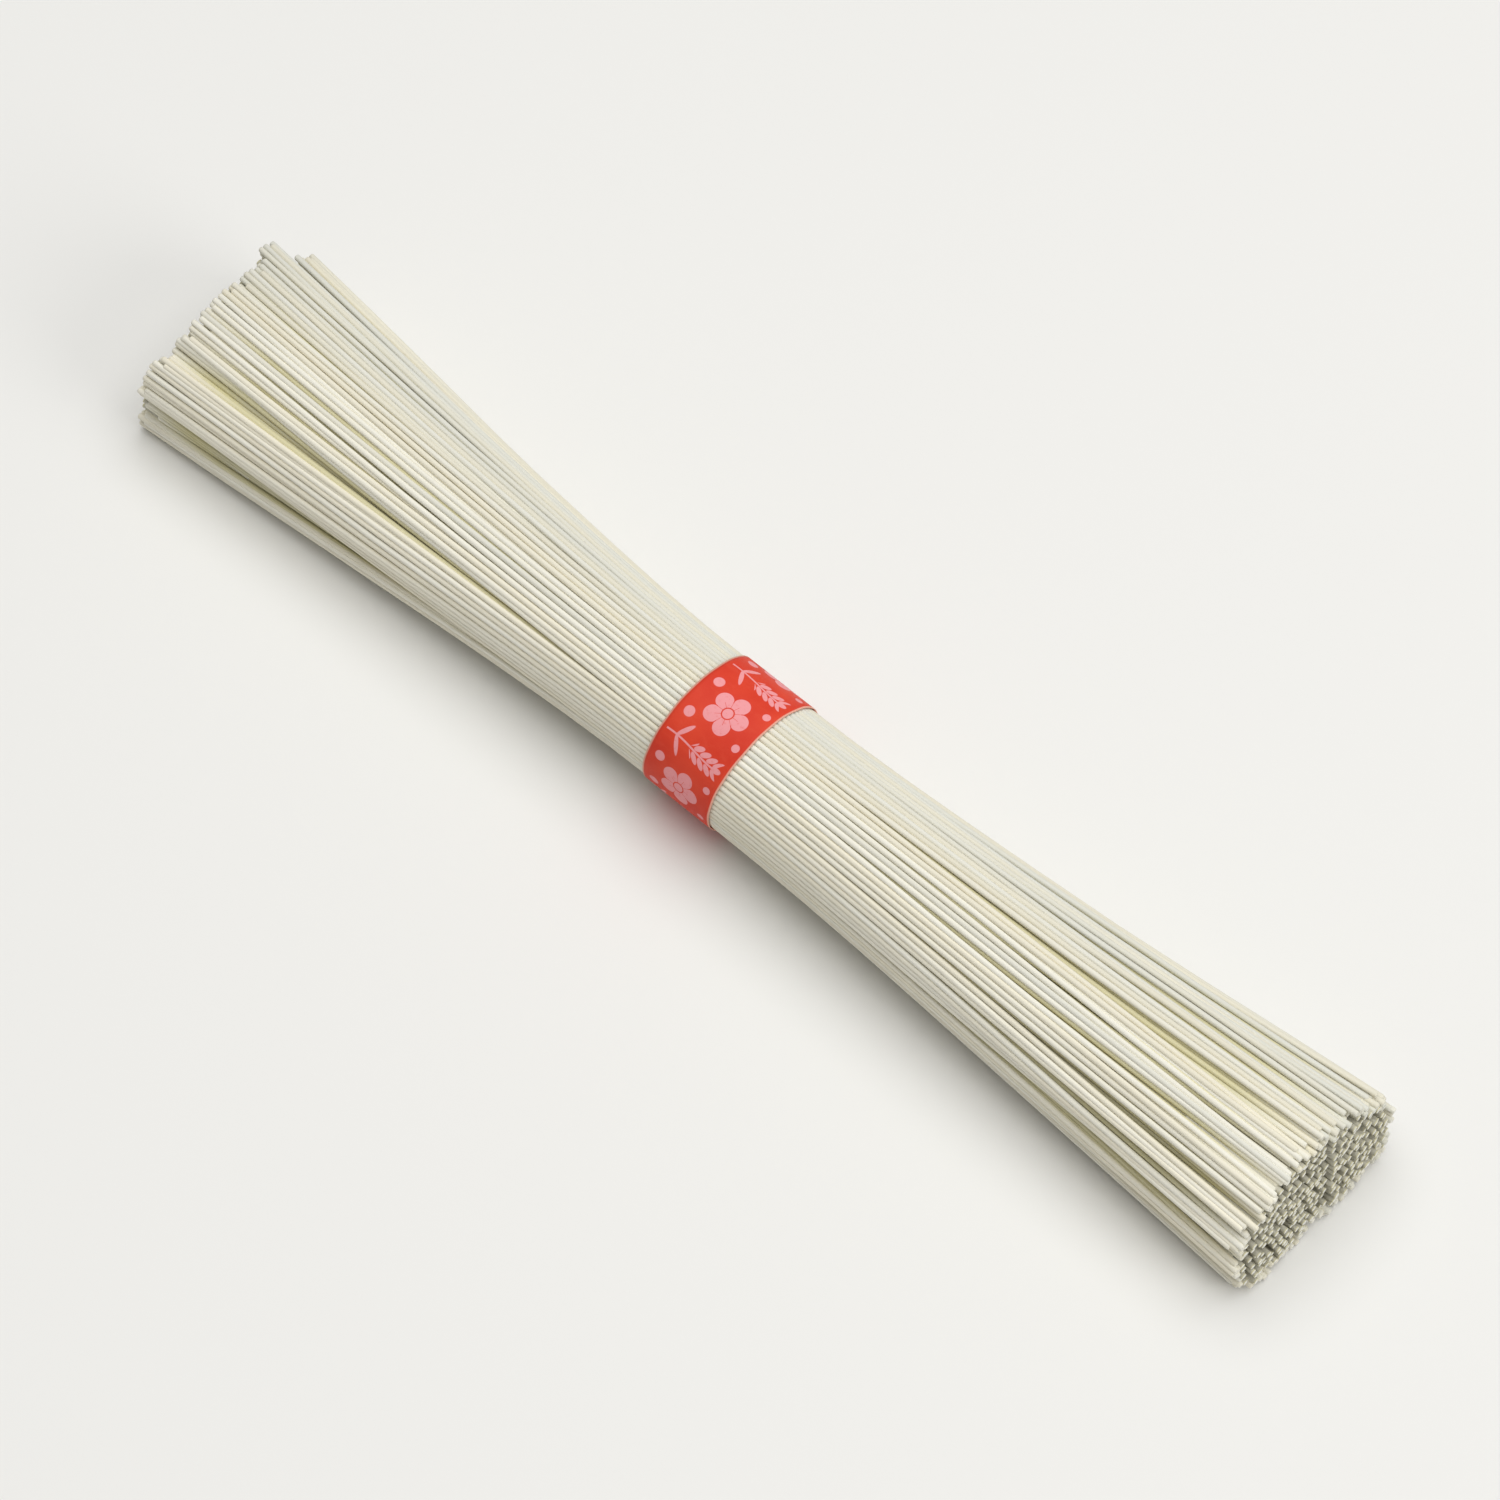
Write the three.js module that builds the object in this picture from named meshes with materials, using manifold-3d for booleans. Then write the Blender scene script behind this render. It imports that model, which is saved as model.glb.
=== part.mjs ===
// A bundle of dried somen: hundreds of fine straight wheat noodles, cut to one length and bound
// near the middle by a glued paper band. It lies on its side on a table.
// Units are millimetres. X runs along the noodles, Y across them, Z up, and the table is Z = 0.

import * as THREE from "three";
import { mergeVertices } from "three/addons/utils/BufferGeometryUtils.js";
import Module from "manifold-3d";

// ---- Driving dimensions -------------------------------------------------------------------

const NOODLE_LENGTH = 190;
const NOODLE_WIDTH = 0.87;
const RAGGED = 1.8; // the most that a noodle falls short by chance; few fall short by much

const BAND_LENGTH = 11.4; // along the noodles
const BAND_CENTRE = -2; // the band isn't quite in the middle
const BAND_SKEW = 0.05; // how far it slants along the noodles, for each mm across
const PAPER = 0.16; // thickness of one layer
const PAPER_GAP = 0.12; // between the paper and the noodles under it
const PAPER_LAP = { from: 0.52, to: 0.61 }; // the share of the way round where the paper is double

// Cross-sections: shoulder is the height of the widest place, flat the width that lies on the
// table, and fullness how square the upper corners are (0.55 is round). Both fans sweep to the
// far side (+Y) of the band, and lean shears their tops that way. Bend is the length over which
// the noodles turn outwards at the band's edge, and slope is how much further the lowest noodles
// reach than the highest.
const ROUND = 0.5523; // Bezier handle of a quarter circle
const WAIST = {
  width: 20, height: 20, shoulder: 10, flat: 0, fullness: ROUND, lean: 0, sweep: 0,
};
const FANS = {
  left: {
    width: 32.1, height: 19.7, shoulder: 8.4, flat: 25, fullness: 0.62, lean: 0.1, sweep: 2.6,
    bend: 23, slope: 1.2,
  },
  right: {
    width: 31.9, height: 20.3, shoulder: 8.4, flat: 24, fullness: 0.59, lean: 0.01, sweep: 2.6,
    bend: 32, slope: 3,
  },
};

const RISE = 1; // how high the band holds the lowest noodles
const SETTLED = 0.48; // how far a fan has opened where its lowest noodles reach the table
const FLATTENED = 0.12; // worn off the lowest noodles, so that the bundle lies on a level underside

// Furrows between clumps of noodles, as places round the cross-section: 0 is the middle of the
// top, and growing numbers go down the near side (-Y) and back up the far side.
const FURROWS = {
  left: [0.05, 0.125, 0.2, 0.285, 0.37, 0.47, 0.55, 0.64, 0.72, 0.8, 0.87, 0.945],
  right: [0.02, 0.085, 0.16, 0.23, 0.3, 0.39, 0.48, 0.58, 0.67, 0.76, 0.84, 0.92],
};
const FURROW_DEPTH = { least: 0.5, most: 1.5 };
const FURROW_WIDTH = 0.018; // as a share of the way round

// Clumps of noodles that slid along the others: each starts at a place across the fan, runs to
// the far side of it or to the next clump, and reaches so much further than the nominal length.
const CLUMPS = {
  left: [
    { from: -Infinity, reach: 1.2 },
    { from: -8, reach: 0.4 },
    { from: 10, reach: 1.8 },
    { from: 13.5, reach: -1.8 },
  ],
  right: [
    { from: -Infinity, reach: -1.4 },
    { from: -10, reach: 0.3 },
    { from: 5, reach: 0.7 },
  ],
};

// ---- Solid detail -------------------------------------------------------------------------

const OUTER_NOODLES = 60;
const CORE_SHORT = { left: 5.2, right: 6 }; // how far inside the nominal length the core ends
const BEND_SHARES = [0, 0.2, 0.6, 1]; // stations from the band's edge to the tips
const INNER_LAYERS = { inset: 1.8, pitch: 1.95, spacing: 2.25 }; // noodles seen in the end faces
const END_SIDES = { outer: 6, inner: 5 };
const END_ROOT = 0.6; // how deep a noodle's end is set in the core
const END_WIDTH = 0.93; // a cut end stands just inside its own rib on the core
const BAND_SIDES = 96;

const COLOURS = { noodle: 0xe9e4cf, paper: 0xd9321f };

// ---- Helpers ------------------------------------------------------------------------------

const { lerp, degToRad } = THREE.MathUtils;
const HALF_LENGTH = NOODLE_LENGTH / 2;

// A repeatable stream of numbers from 0 to 1.
function seeded(seed) {
  let state = seed >>> 0;
  return () => {
    state = (state + 0x6d2b79f5) >>> 0;
    let mixed = Math.imul(state ^ (state >>> 15), 1 | state);
    mixed = (mixed + Math.imul(mixed ^ (mixed >>> 7), 61 | mixed)) ^ mixed;
    return ((mixed ^ (mixed >>> 14)) >>> 0) / 4294967296;
  };
}

const wasm = await Module();
wasm.setup();

function toSolid(geometry) {
  const bare = geometry.clone();
  bare.deleteAttribute("normal");
  bare.deleteAttribute("uv");
  const merged = mergeVertices(bare, 1e-4);
  return new wasm.Manifold(
    new wasm.Mesh({
      numProp: 3,
      vertProperties: new Float32Array(merged.attributes.position.array),
      triVerts: new Uint32Array(merged.index.array),
    }),
  );
}

function toGeometry(solid) {
  const mesh = solid.getMesh();
  const geometry = new THREE.BufferGeometry();
  geometry.setAttribute("position", new THREE.BufferAttribute(mesh.vertProperties, 3));
  geometry.setIndex(new THREE.BufferAttribute(mesh.triVerts, 1));
  geometry.computeVertexNormals();
  return geometry;
}

// A closed skin over rings of equally many points: a cylinder whose points are moved to them.
function loft(rings) {
  const sides = rings[0].length;
  const tube = new THREE.CylinderGeometry(1, 1, 1, sides, rings.length - 1);
  const { position } = tube.attributes;
  for (let v = 0; v < position.count; v++) {
    const [x, y, z] = [position.getX(v), position.getY(v), position.getZ(v)];
    const ring = rings[Math.round((0.5 - y) * (rings.length - 1))];
    const place = Math.round((Math.atan2(x, z) / (2 * Math.PI)) * sides + sides) % sides;
    const onAxis = Math.hypot(x, z) < 0.5;
    const middle = () => ring.reduce((sum, p) => sum.add(p), new THREE.Vector3()).divideScalar(sides);
    const { x: along, y: across, z: up } = onAxis ? middle() : ring[place];
    position.setXYZ(v, along, across, up);
  }
  return tube;
}

// ---- Shape of the bundle ------------------------------------------------------------------

// Which fan a place along the bundle belongs to, how far that fan has opened there, from 0 at
// the band's edge to 1 at the tips, and how high its lowest noodles are. Past the bend the
// noodles run in straight lines.
function fanAt(x) {
  const side = x < BAND_CENTRE ? "left" : "right";
  const tip = side === "left" ? -HALF_LENGTH : HALF_LENGTH;
  const reach = Math.abs(tip - BAND_CENTRE) - BAND_LENGTH / 2;
  const past = Math.max(0, Math.abs(x - BAND_CENTRE) - BAND_LENGTH / 2);
  const turned = (length) => Math.hypot(length, FANS[side].bend) - FANS[side].bend;
  const open = turned(past) / turned(reach);
  return { side, open, rise: RISE * Math.max(0, 1 - open / SETTLED) };
}

// The cross-section at a place along the bundle, in the same terms as the waist and the fans.
function sectionAt(x) {
  const { side, open } = fanAt(x);
  const blended = Object.keys(WAIST).map((key) => [key, lerp(WAIST[key], FANS[side][key], open)]);
  return Object.fromEntries(blended);
}

// The outline of a cross-section, drawn inset from the outside of the outer noodles. It starts
// at the middle of the top and goes down the near side first.
function outline(section, inset) {
  const half = section.width / 2 - inset;
  const top = section.height - 2 * inset;
  const shoulder = section.shoulder - inset;
  const foot = section.flat / 2;
  const upper = lerp(shoulder, top, section.fullness);
  const crown = half * section.fullness;
  const lower = shoulder * (1 - ROUND);
  const ankle = lerp(foot, half, ROUND);
  const path = new THREE.Path();
  path.moveTo(0, top);
  path.bezierCurveTo(-crown, top, -half, upper, -half, shoulder);
  path.bezierCurveTo(-half, lower, -ankle, 0, -foot, 0);
  path.lineTo(foot, 0);
  path.bezierCurveTo(ankle, 0, half, lower, half, shoulder);
  path.bezierCurveTo(half, upper, crown, top, 0, top);
  return path;
}

// How deep the furrows are at a place round a fan, at its tips.
function furrowDepth(side, round) {
  return FURROWS[side].reduce((deepest, place, index) => {
    const away = Math.abs(((round - place + 1.5) % 1) - 0.5) / FURROW_WIDTH;
    const share = (index * 0.618 + 0.3) % 1;
    const depth = lerp(FURROW_DEPTH.least, FURROW_DEPTH.most, share);
    return Math.max(deepest, depth * Math.exp(-away * away));
  }, 0);
}

// Places evenly spaced round the bundle at one station, each with the middle of a noodle that
// lies inset from the outside, and the direction that faces out there.
function ringAt(x, inset, count) {
  const { side, open, rise } = fanAt(x);
  const section = sectionAt(x);
  const points = outline(section, inset).getSpacedPoints(4 * count);
  const heart = new THREE.Vector2(0, section.height / 2 - inset);
  const ring = [];
  for (let j = 0; j < count; j++) {
    const point = points[4 * j + 2];
    const out = points[4 * j + 1].clone().sub(points[4 * j + 3]).normalize();
    const [outAcross, outUp] = [-out.y, out.x];
    const depth = open * furrowDepth(side, (j + 0.5) / count);
    const sunk = Math.min(depth / point.distanceTo(heart), 1);
    const { x: across, y: up } = point.clone().lerp(heart, sunk);
    const leaned = across + section.lean * (up - heart.y) + section.sweep;
    ring.push({ middle: new THREE.Vector3(x, leaned, up + inset + rise), outAcross, outUp });
  }
  return ring;
}

// How far from the middle of the bundle a noodle ends, apart from chance.
function reachAt(side, { y: across, z: up }) {
  const { reach } = CLUMPS[side].findLast(({ from }) => across >= from);
  return HALF_LENGTH + reach - (FANS[side].slope * up) / FANS[side].height;
}

// ---- Noodles ------------------------------------------------------------------------------

// The stations at which the noodles may bend, from the right tips to the left ones.
const STATIONS = [
  ...BEND_SHARES.map((share) => lerp(BAND_CENTRE + BAND_LENGTH / 2, HALF_LENGTH, share)).reverse(),
  ...BEND_SHARES.map((share) => lerp(BAND_CENTRE - BAND_LENGTH / 2, -HALF_LENGTH, share)),
];

// The mass of noodles as far in as the eye can see: a core that carries the outer noodles as
// ribs. A rib is the outer half of a hexagon, and a valley divides it from the next.
function coreGeometry() {
  const radius = NOODLE_WIDTH / 2;
  const ribs = (x) =>
    ringAt(x, radius, OUTER_NOODLES).flatMap(({ middle, outAcross, outUp }, j, ring) => {
      const corner = (degrees) => {
        const c = Math.cos(degToRad(degrees));
        const s = Math.sin(degToRad(degrees));
        const away = new THREE.Vector3(0, c * outAcross - s * outUp, s * outAcross + c * outUp);
        return middle.clone().addScaledVector(away, radius);
      };
      const valley = middle.clone().lerp(ring[(j + 1) % ring.length].middle, 0.5);
      return [corner(-60), corner(0), corner(60), valley];
    });
  const rings = STATIONS.map(ribs);
  const shorten = (ring, next, x) =>
    ring.forEach((point, i) => {
      point.lerp(next[i], (x - point.x) / (next[i].x - point.x));
      point.x = x;
    });
  shorten(rings[0], rings[1], HALF_LENGTH - CORE_SHORT.right);
  shorten(rings.at(-1), rings.at(-2), CORE_SHORT.left - HALF_LENGTH);
  return loft(rings);
}

// The end of one noodle, from a root inside the core to its cut tip. An edge faces outwards.
function noodleEnd(root, tip, sides, outAcross, outUp) {
  const radius = (END_WIDTH * NOODLE_WIDTH) / 2;
  const turn = Math.atan2(outUp, outAcross);
  const corners = Array.from({ length: sides }, (_, i) => {
    const angle = turn + (2 * Math.PI * i) / sides;
    return new THREE.Vector2(radius * Math.cos(angle), radius * Math.sin(angle));
  });
  const depth = Math.abs(tip.x - root.x);
  const rod = new THREE.ExtrudeGeometry(new THREE.Shape(corners), { depth, bevelEnabled: false });
  // The rod is drawn in Y and Z and runs along X, and it is then slanted along the fan.
  const start = root.x < tip.x ? root : tip;
  const finish = root.x < tip.x ? tip : root;
  const slant = finish.clone().sub(start).divideScalar(depth);
  rod.applyMatrix4(
    new THREE.Matrix4().makeBasis(new THREE.Vector3(0, 1, 0), new THREE.Vector3(0, 0, 1), slant),
  );
  return rod.translate(start.x, start.y, start.z);
}

// The cut ends of the outer noodles and of those seen inside, in layers, standing on the core.
function noodleEnds(way, random) {
  const { side } = fanAt(way * HALF_LENGTH);
  const rootX = way * (HALF_LENGTH - CORE_SHORT[side] - END_ROOT);
  const layer = (inset, count, sides) => {
    const roots = ringAt(rootX, inset, count);
    return ringAt(way * HALF_LENGTH, inset, count).map(({ middle, outAcross, outUp }, j) => {
      const root = roots[j].middle;
      const reach = reachAt(side, middle) - RAGGED * random() ** 2;
      const tip = root.clone().lerp(middle, (way * reach - rootX) / (middle.x - rootX));
      return noodleEnd(root, tip, sides, outAcross, outUp);
    });
  };
  const ends = layer(NOODLE_WIDTH / 2, OUTER_NOODLES, END_SIDES.outer);
  const deepest = FANS[side].height / 2 - NOODLE_WIDTH;
  for (let inset = INNER_LAYERS.inset; inset < deepest; inset += INNER_LAYERS.pitch) {
    const round = outline(FANS[side], inset).getLength();
    ends.push(...layer(inset, Math.max(3, Math.round(round / INNER_LAYERS.spacing)), END_SIDES.inner));
  }
  return ends;
}

function noodlesGeometry() {
  const random = seeded(11);
  const ends = [...noodleEnds(-1, random), ...noodleEnds(1, random)];
  const whole = ends.reduce((joined, end) => joined.add(toSolid(end)), toSolid(coreGeometry()));
  const table = new THREE.BoxGeometry(1.2 * NOODLE_LENGTH, 2 * FANS.left.width, 2);
  return toGeometry(whole.subtract(toSolid(table.translate(0, 0, FLATTENED - 1))));
}

// ---- Band ---------------------------------------------------------------------------------

// The paper seen along X: one layer round the bundle, and two where it is glued.
function bandGeometry() {
  const around = (layers) => {
    const out = PAPER_GAP + layers * PAPER;
    const ring = ringAt(BAND_CENTRE, -out, BAND_SIDES);
    return ring.map(({ middle }) => new THREE.Vector2(middle.y, middle.z));
  };
  const [inner, single, double] = [around(0), around(1), around(2)];
  const outer = single.map((point, i) => {
    const round = (i + 0.5) / BAND_SIDES;
    return round > PAPER_LAP.from && round < PAPER_LAP.to ? double[i] : point;
  });
  const shape = new THREE.Shape(outer);
  shape.holes.push(new THREE.Path(inner));
  const geometry = new THREE.ExtrudeGeometry(shape, { depth: BAND_LENGTH, bevelEnabled: false });
  // The outline was drawn in Y and Z: this turns it so that it is extruded along X.
  geometry.applyMatrix4(
    new THREE.Matrix4().makeBasis(
      new THREE.Vector3(0, 1, 0),
      new THREE.Vector3(0, 0, 1),
      new THREE.Vector3(1, 0, 0),
    ),
  );
  geometry.translate(BAND_CENTRE - BAND_LENGTH / 2, 0, 0);
  return geometry.applyMatrix4(new THREE.Matrix4().makeShear(0, 0, BAND_SKEW, 0, 0, 0));
}

// ---- The bundle ---------------------------------------------------------------------------

function part(name, geometry, colour, roughness) {
  const material = new THREE.MeshStandardMaterial({ color: colour, roughness, metalness: 0 });
  const mesh = new THREE.Mesh(geometry, material);
  mesh.name = name;
  return mesh;
}

const bundle = new THREE.Group();
bundle.add(part("noodles", noodlesGeometry(), COLOURS.noodle, 0.75));
bundle.add(part("paper_band", bandGeometry(), COLOURS.paper, 0.45));

// The origin is under the middle of the bundle, on the table.
const box = new THREE.Box3().setFromObject(bundle);
const middle = box.getCenter(new THREE.Vector3());
bundle.position.set(-middle.x, -middle.y, -box.min.z);

export default bundle;
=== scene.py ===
"""The looks of a bundle of dried somen: several hundred thin wheat noodles, bound near the middle
by a glued paper band, lying on a pale table.

Sizes are in millimetres unless a name says otherwise. X runs along the noodles and Y across them,
both from the middle of the band, and Z up from the table. A place round a cross-section is 0 at the
middle of the top and grows down the near side (-Y) and back up the far side, to 1.
"""

import math
from collections import namedtuple

import bmesh
import bpy
import numpy as np
from bpy.props import FloatProperty, FloatVectorProperty, IntProperty, PointerProperty
from bpy.types import Operator, Panel, PropertyGroup
from mathutils import Matrix, Vector


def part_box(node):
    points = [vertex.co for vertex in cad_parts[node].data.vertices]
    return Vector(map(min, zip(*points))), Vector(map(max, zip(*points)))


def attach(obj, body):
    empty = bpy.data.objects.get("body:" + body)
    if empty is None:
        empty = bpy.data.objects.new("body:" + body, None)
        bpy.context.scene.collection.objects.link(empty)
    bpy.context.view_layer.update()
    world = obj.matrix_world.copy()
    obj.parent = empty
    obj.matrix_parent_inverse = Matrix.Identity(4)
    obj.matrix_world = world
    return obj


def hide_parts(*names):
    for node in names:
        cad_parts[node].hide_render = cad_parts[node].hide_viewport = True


bl_info = {
    "name": "Somen Bundle",
    "version": (1, 0, 0),
    "blender": (4, 5, 0),
    "location": "3D View > Sidebar > Somen",
    "description": "Makes a bundle of somen noodles with its paper band, on a table",
    "category": "Add Mesh",
}

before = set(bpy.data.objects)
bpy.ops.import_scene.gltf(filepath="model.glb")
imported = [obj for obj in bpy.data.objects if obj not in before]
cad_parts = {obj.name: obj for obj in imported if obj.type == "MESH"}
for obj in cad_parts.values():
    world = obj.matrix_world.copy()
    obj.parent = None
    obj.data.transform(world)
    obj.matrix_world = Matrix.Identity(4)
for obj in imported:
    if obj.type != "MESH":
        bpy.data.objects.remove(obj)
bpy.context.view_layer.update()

MM = 0.001
BODY = "root"

# ---- The bundle's own place and shape ------------------------------------------------------

# Cross-sections: shoulder is the height of the widest place, flat the width that lies on the
# table, and fullness how square the upper corners are. Both fans sweep to the far side of the
# band, and lean shears their tops that way.
ROUND = 0.5523  # Bezier handle of a quarter circle
WAIST = {
    "width": 20.0, "height": 20.0, "shoulder": 10.0, "flat": 0.0, "fullness": ROUND,
    "lean": 0.0, "sweep": 0.0,
}
FANS = {
    "left": {
        "width": 32.1, "height": 19.7, "shoulder": 8.4, "flat": 25.0, "fullness": 0.62,
        "lean": 0.1, "sweep": 2.6,
    },
    "right": {
        "width": 31.9, "height": 20.3, "shoulder": 8.4, "flat": 24.0, "fullness": 0.59,
        "lean": 0.01, "sweep": 2.6,
    },
}
SPAN_POINTS = 24  # points on each curve of an outline
LEAST_SHOULDER = 0.35  # of the height that is left, where an outline is inset far
WIDEST_FOOT = 0.9  # of the half width that is left

BAND_LOW, BAND_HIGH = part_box("paper_band")
NOODLES_LOW, NOODLES_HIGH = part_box("noodles")
MIDDLE = (BAND_LOW + BAND_HIGH) / 2
BAND_LENGTH = 11.4
BAND_EDGE = BAND_LENGTH / 2
BAND_SKEW = 0.05  # how far the band slants along the noodles, for each mm across
BAND_RADIUS = 10.275  # outside of the paper where it is single
BAND_UP = BAND_HIGH.z / MM - BAND_RADIUS  # the height of the band's middle
PAPER_CLEAR = 0.02  # from the paper's outside to the solid band's
PAPER_LAP = (0.52, 0.61)  # the places round it between which the paper is double
PAPER_GLUE = 0.015  # between the two layers
LAP_RISE = 0.02  # the share of a turn in which the outer layer rises over the inner one
WAIST_UP = BAND_UP - WAIST["height"] / 2  # how high the band holds the lowest noodles

WAY = {"left": -1, "right": 1}
NOODLE_LENGTH = 190
HALF_LENGTH = {"left": 93.0, "right": 97.0}  # from the band's middle to the nominal tips
BEND = {"left": 23.0, "right": 32.0}  # length over which the noodles turn outwards
SLOPE = {"left": 1.2, "right": 3.0}  # how much further the lowest noodles reach than the highest
SETTLED = 0.48  # how far a fan has opened where its lowest noodles reach the table
RELIEF = {"left": 0.4, "right": 1.0}  # how strongly noodles sink at the edges of their clumps

# Clumps that slid along the others: from this far across the fan on, they reach so much further.
CLUMPS = {
    "left": ((-99, 1.3), (-8, 0.4), (10, 1.9), (13.5, -1.8)),
    "right": ((-99, -1.2), (-13.5, -0.5), (-10, 0.2), (5, 0.9)),
}

# Layers of full-length noodles, from the outside: how many at the band, how many more rise into
# the layer as the fans open, how far in they lie at the band and at the tips, how far they join
# in the furrows, how far the layer is turned against the others, and its depth for the painted
# shade in the colours.
Layer = namedtuple("Layer", "count risers inset_waist inset_tip share phase depth")
LAYERS = (
    Layer(72, 15, 0.435, 0.44, 1.0, 0.0, 0.0),
    Layer(70, 18, 1.2, 1.0, 0.7, 0.5, 0.75),
    Layer(64, 18, 1.95, 1.7, 0.0, 0.0, 1.42),
)
UNDER = 0.75  # how far below its layer a noodle lies before it rises into it
RISING = {"left": 1.0, "right": 0.4}  # the share of those noodles that rise before the tips
SHORT = 3.0  # how much sooner they end at the most, in the layers underneath

# The furrows between clumps: places round the fan, how wide they gape at the tips, how much of
# that the layers underneath share, and the tint of the clump after each, from cool to warm. The
# coolest tints, on the clumps of the far side, are painted shade.
FURROWS = {
    "left": (
        (0.055, 0.8, 0.0, 0.6), (0.1, 0.5, 0.0, 0.4), (0.14, 3.0, 0.6, 0.9),
        (0.185, 0.5, 0.0, 0.6), (0.215, 0.6, 0.0, 0.9), (0.27, 6.4, 1.0, 0.6),
        (0.38, 0.9, 0.2, 0.5), (0.47, 1.2, 0.3, 0.4), (0.55, 0.8, 0.0, 0.6),
        (0.64, 1.3, 0.3, 0.5), (0.72, 0.8, 0.0, 0.3), (0.79, 0.5, 0.0, 0.1),
        (0.85, 1.1, 0.0, 0.0), (0.93, 0.6, 0.0, 0.1), (0.985, 0.6, 0.0, 0.8),
    ),
    "right": (
        (0.005, 2.6, 0.0, 0.5), (0.05, 1.2, 0.0, 0.5), (0.09, 1.6, 0.1, 0.8),
        (0.15, 2.0, 0.1, 0.9), (0.19, 2.3, 0.4, 0.6), (0.235, 3.2, 0.8, 0.9),
        (0.29, 2.8, 0.8, 0.7), (0.42, 1.1, 0.2, 0.5), (0.5, 0.9, 0.0, 0.4),
        (0.6, 1.1, 0.2, 0.6), (0.68, 0.9, 0.0, 0.5), (0.75, 0.7, 0.0, 0.2),
        (0.8, 0.5, 0.0, 0.0), (0.865, 1.5, 0.1, 0.0), (0.93, 1.4, 0.0, 0.1),
        (0.968, 0.5, 0.0, 0.3),
    ),
}

SHARES = (0, 0.08, 0.17, 0.28, 0.41, 0.55, 0.7, 0.85, 1)  # stations from band edge to tip
MIDDLE_GAP = 0.001  # from the band's middle to the rings beside it, as a share of the length
WAVES = ((1.3, 1.0), (3.1, 0.45))  # how noodles stray: half turns in WAVE_RUN, and size
WAVE_RUN = 90
WAVES_FULL = 3  # they are at full size where a fan has opened by one part in so many
WIDTH_SPREAD = {"outer": 0.035, "inner": 0.04}  # how noodles differ in thickness
TINT_SPREAD = 0.12
PLACE_SPREAD = 0.0014  # of the way round a fan
HEART_INSET = 9.5  # an outline inset this far has shrunk to the fan's middle
# How far they sink into the fan: at the edges of clumps, by chance, and the part of both that the
# layers underneath keep.
SINK = {"edge": 0.5, "chance": 0.3, "least": 0.3}
TIP_MARGIN = 0.08  # from the longest noodles to the solid's own tips
TIP_VARIES = 0.5  # by how much that differs between neighbours
TABLE_GAP = 0.01  # under the lowest noodles
BOX_HAIR = 0.005  # how far inside the solid's box every point stays

# Noodles inside the fans, of which only the cut ends show, and the core that they end in.
INNER_INSET = 2.25  # how far in their first ring lies
RING_PITCH = 0.9  # from ring to ring, for each mm between neighbours in a ring
INNER_STRAY = 0.2  # how far their tips stray from the rings by chance
INNER_LEAST = 0.9  # between neighbours, once they are spread out
SPREAD_ROUNDS = 30
SPREAD_STEP = 0.6  # the part of each overlap that a round takes away
INNER_RAGGED = 0.45  # how ragged they end, against the outer ones
INNER_STATIONS = (0.012, 0.5, 0.988)
ROOT = 4  # how deep in the core they start
CORE_SIDES = 120
CORE_INSET = 2.15
CORE_RIPPLE = 0.2

# Depths for the painted shade in the colours: 0 on the outside, 1 in the furrows and 2 in full
# shade.
CUT = -1.0  # marks a cut end
END_FADE = 1.5  # how far from its cut end an outer noodle reaches its layer's depth
SHADE_FADE = 0.115  # how far behind the cut an inner noodle is one depth further in


def in_metres(points):
    """Points in millimetres from the band's middle, as places in the row's frame."""
    placed = np.array(points, float) * MM
    placed[..., 0] += MIDDLE.x
    placed[..., 1] += MIDDLE.y
    return placed


def opened(side, past):
    """How far a fan has opened this far past the band's edge: 0 there, 1 at the nominal tips."""
    bend = BEND[side]
    reach = HALF_LENGTH[side] - BAND_EDGE
    return (np.hypot(np.maximum(past, 0), bend) - bend) / (math.hypot(reach, bend) - bend)


def held_up(open_share):
    """How high the lowest noodles are above the table where a fan has opened that far."""
    return WAIST_UP * np.maximum(0, 1 - open_share / SETTLED)


def outline(section, inset):
    """A cross-section's outline as points, inset from the outside of the outer noodles."""
    half = section["width"] / 2 - inset
    top = section["height"] - 2 * inset
    shoulder = max(section["shoulder"] - inset, LEAST_SHOULDER * top)
    foot = min(section["flat"] / 2, WIDEST_FOOT * half)
    upper = shoulder + (top - shoulder) * section["fullness"]
    crown = half * section["fullness"]
    lower = shoulder * (1 - ROUND)
    ankle = foot + (half - foot) * ROUND
    spans = (
        ((0, top), (-crown, top), (-half, upper), (-half, shoulder)),
        ((-half, shoulder), (-half, lower), (-ankle, 0), (-foot, 0)),
        ((-foot, 0), (-foot / 3, 0), (foot / 3, 0), (foot, 0)),
        ((foot, 0), (ankle, 0), (half, lower), (half, shoulder)),
        ((half, shoulder), (half, upper), (crown, top), (0, top)),
    )
    t = np.linspace(0, 1, SPAN_POINTS, endpoint=False)[:, None]
    curves = [
        (1 - t) ** 3 * np.array(a)
        + 3 * (1 - t) ** 2 * t * np.array(b)
        + 3 * (1 - t) * t**2 * np.array(c)
        + t**3 * np.array(d)
        for a, b, c, d in spans
    ]
    return np.vstack([*curves, [(0, top)]])


def round_place(section, inset, places):
    """The points of the outline at these places round it, as (across, up) above its foot."""
    points = outline(section, inset)
    run = np.concatenate([[0], np.cumsum(np.linalg.norm(np.diff(points, axis=0), axis=1))])
    at = np.mod(places, 1) * run[-1]
    across = np.interp(at, run, points[:, 0])
    up = np.interp(at, run, points[:, 1]) + inset
    across = across + section["lean"] * (up - section["height"] / 2) + section["sweep"]
    return np.stack([across, up], axis=-1)


def girth(section, inset):
    """The length round the outline at this inset."""
    return float(np.linalg.norm(np.diff(outline(section, inset), axis=0), axis=1).sum())


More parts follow.
